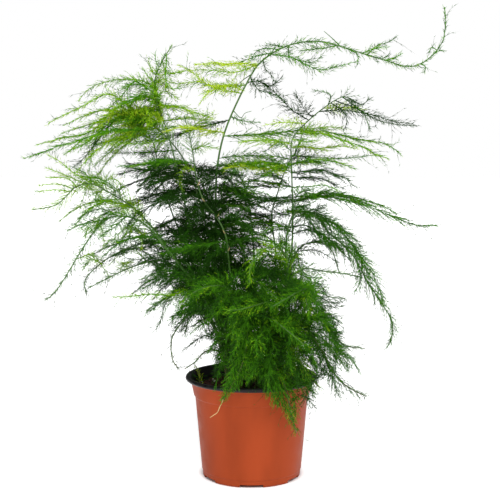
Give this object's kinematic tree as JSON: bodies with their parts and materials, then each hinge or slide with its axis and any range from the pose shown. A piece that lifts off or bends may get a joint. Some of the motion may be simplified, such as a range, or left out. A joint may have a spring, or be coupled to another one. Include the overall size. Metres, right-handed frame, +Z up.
{
  "type": "potted asparagus fern",
  "caption": "Lace asparagus fern in a terracotta-coloured plastic nursery pot: wiry arching stems carry flat sprays of fine needle leaves out over the rim.",
  "frame": {"origin": "on the ground under the pot's axis, at the middle of the pot's underside", "axes": "+Z up the pot's axis; -Y towards the viewer of the picture, whose picture plane shows +X to the right"},
  "size_m": [0.3689, 0.2621, 0.4207],
  "materials": {
    "pot": "satin",
    "soil": "matte",
    "foliage_dark": "matte",
    "foliage_mid": "matte",
    "foliage_light": "matte"
  },
  "bodies": {
    "root": {"pot": "pot", "soil": "soil", "climbing_shoot": "foliage_mid", "right_upright": "foliage_mid", "slender_upright": "foliage_mid", "bracted_stem": "foliage_mid", "left_arching": "foliage_mid", "left_upright": "foliage_mid", "left_back": "foliage_mid", "far_left": "foliage_light", "long_trailing": "foliage_mid", "left_low_arch": "foliage_dark", "left_mid_arch": "foliage_dark", "left_side_arch": "foliage_mid", "umbrella": "foliage_dark", "right_plume": "foliage_mid", "right_side_arch": "foliage_mid", "right_mid": "foliage_mid", "right_low": "foliage_dark", "right_low_arch": "foliage_mid", "right_front_arch": "foliage_dark", "front_right_plume": "foliage_mid", "front_plume": "foliage_mid", "pot_front_plume": "foliage_mid", "low_left_front": "foliage_mid", "hanging_loop": "foliage_dark", "rim_spray": "foliage_mid", "left_back_low": "foliage_dark", "centre_arch": "foliage_mid", "centre_right": "foliage_mid", "centre_left": "foliage_mid", "centre_front": "foliage_mid", "front_low_right": "foliage_mid", "front_left": "foliage_mid", "back_arch_left": "foliage_dark", "back_arch_right": "foliage_mid", "back_low_left": "foliage_dark", "back_low_right": "foliage_dark", "back_upright": "foliage_mid", "back_pot_plume": "foliage_mid", "young_sprig": "foliage_light"}
  },
  "joints": []
}
